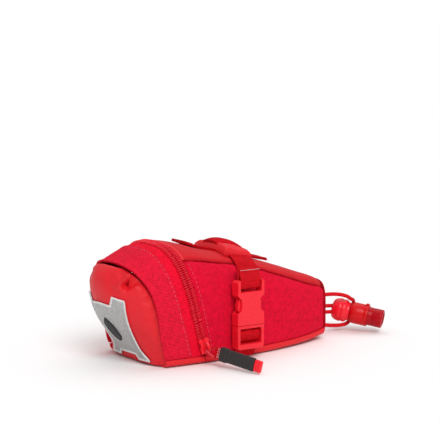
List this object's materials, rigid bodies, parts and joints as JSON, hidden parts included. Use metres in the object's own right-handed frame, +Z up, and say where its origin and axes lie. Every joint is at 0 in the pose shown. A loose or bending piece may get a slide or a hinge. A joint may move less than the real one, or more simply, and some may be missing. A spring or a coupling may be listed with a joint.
{
  "type": "bicycle saddle bag",
  "caption": "Wedge-shaped zipped saddle bag with side-release buckle straps over the top, a reflective rear patch and an elastic seat-post loop with a sprung toggle.",
  "frame": {"origin": "on the flat bottom face, midway between the sides, at the centre of the buckle area", "axes": "+X towards the narrow nose, +Y towards the bag's left, +Z up"},
  "size_m": [0.2474, 0.1399, 0.0841],
  "materials": {
    "coated_fabric": "smooth semi-gloss coated fabric with a fine grain",
    "woven_fabric": "fine matte ballistic weave",
    "webbing": "ribbed woven strap",
    "buckle_plastic": "satin moulded acetal",
    "clear_plastic": "slightly translucent moulded plastic",
    "dark_plastic": "satin moulded plastic",
    "reflective_film": "grey retroreflective film with a bound edge",
    "zip_coil": "nylon coil teeth",
    "zip_metal": "enamelled metal",
    "rubber": "dark grey moulded rubber with a fine grain",
    "elastic_cord": "braided elastic cord",
    "board": "stiff polyethylene board",
    "foam": "closed cell foam",
    "steel": "spring steel",
    "badge": "plain raised rubber badge with no mark"
  },
  "bodies": {
    "bag": {"bottom_panel": "coated_fabric", "right_side_panel": "woven_fabric", "left_side_panel": "woven_fabric", "top_panel": "coated_fabric", "nose_panel": "woven_fabric", "base_stiffener": "board", "nose_anchor_plate": "board", "body_zip_coil": "zip_coil", "body_zip_tape": "webbing", "right_zip_stop": "steel", "left_zip_stop": "steel", "top_strip": "webbing", "cross_webbing": "webbing", "strap_pad": "coated_fabric", "pad_keeper": "webbing", "right_buckle_male": "buckle_plastic", "left_buckle_male": "buckle_plastic", "right_lower_webbing": "webbing", "left_lower_webbing": "webbing", "upper_loop_knot": "elastic_cord", "lower_loop_knot": "elastic_cord", "strand_knot": "elastic_cord"},
    "lid": {"rear_panel": "coated_fabric", "lid_band": "woven_fabric", "lid_bottom_panel": "coated_fabric", "lid_zip_tape": "webbing", "lid_zip_coil": "zip_coil", "reflective_patch": "reflective_film", "badge": "badge", "rear_foam": "foam"},
    "slider": {"slider": "buckle_plastic"},
    "pull": {"pull_wire": "zip_metal", "pull_webbing": "webbing", "pull_sleeve": "rubber", "pull_tip": "buckle_plastic"},
    "right_female": {"right_buckle_female": "buckle_plastic", "right_webbing_turn": "webbing"},
    "left_female": {"left_buckle_female": "buckle_plastic", "left_webbing_turn": "webbing"},
    "right_front_arm": {"right_front_arm": "buckle_plastic"},
    "right_rear_arm": {"right_rear_arm": "buckle_plastic"},
    "left_front_arm": {"left_front_arm": "buckle_plastic"},
    "left_rear_arm": {"left_rear_arm": "buckle_plastic"},
    "cords": {"seatpost_loop": "elastic_cord", "upper_strand": "elastic_cord", "lower_strand": "elastic_cord"},
    "toggle": {"toggle_head": "buckle_plastic", "toggle_barrel": "clear_plastic"},
    "plunger": {"toggle_plunger": "dark_plastic", "toggle_spring": "steel"}
  },
  "joints": [
    {"name": "lid_hinge", "type": "hinge", "parent": "bag", "child": "lid", "pos_m": [-0.0285, 0, 0], "axis": [0, -1, 0], "range_deg": [0, 75]},
    {"name": "slider_travel", "type": "slide", "parent": "bag", "child": "slider", "axis": [-0.2529, 0, 0.9675], "range_m": [0, 0.03]},
    {"name": "pull_swing", "type": "hinge", "parent": "slider", "child": "pull", "pos_m": [-0.03056, -0.04558, 0.01131], "axis": [0.9511, 0.309, 0], "range_deg": [-38, 60]},
    {"name": "right_buckle_release", "type": "slide", "parent": "bag", "child": "right_female", "axis": [0, 0, 1], "range_m": [0, 0.022]},
    {"name": "right_front_arm_squeeze", "type": "hinge", "parent": "bag", "child": "right_front_arm", "pos_m": [0.0122, -0.0455, 0.0266], "axis": [0, -1, 0], "range_deg": [0, 6], "stiffness_Nm_per_rad": 0.7},
    {"name": "right_rear_arm_squeeze", "type": "hinge", "parent": "bag", "child": "right_rear_arm", "pos_m": [-0.0032, -0.0455, 0.0266], "axis": [0, 1, 0], "range_deg": [0, 6], "stiffness_Nm_per_rad": 0.7},
    {"name": "left_buckle_release", "type": "slide", "parent": "bag", "child": "left_female", "axis": [0, 0, 1], "range_m": [0, 0.022]},
    {"name": "left_front_arm_squeeze", "type": "hinge", "parent": "bag", "child": "left_front_arm", "pos_m": [0.0122, 0.0455, 0.0266], "axis": [0, -1, 0], "range_deg": [0, 6], "stiffness_Nm_per_rad": 0.7},
    {"name": "left_rear_arm_squeeze", "type": "hinge", "parent": "bag", "child": "left_rear_arm", "pos_m": [-0.0032, 0.0455, 0.0266], "axis": [0, 1, 0], "range_deg": [0, 6], "stiffness_Nm_per_rad": 0.7},
    {"name": "cord_swing", "type": "hinge", "parent": "bag", "child": "cords", "pos_m": [0.0983, 0.005, 0.018], "axis": [0, 0, 1], "range_deg": [-25, 25], "stiffness_Nm_per_rad": 0.02, "deforming": ["seatpost_loop", "upper_strand", "lower_strand"]},
    {"name": "toggle_tilt", "type": "hinge", "parent": "cords", "child": "toggle", "pos_m": [0.1276, 0, 0.016], "axis": [0.7748, 0.6322, 0], "range_deg": [-25, 25], "stiffness_Nm_per_rad": 0.035},
    {"name": "plunger_press", "type": "slide", "parent": "toggle", "child": "plunger", "axis": [-0.6229, 0.7635, 0.1708], "range_m": [0, 0.005], "stiffness_N_per_m": 300, "springref_m": -0.002, "deforming": ["toggle_spring"]}
  ]
}
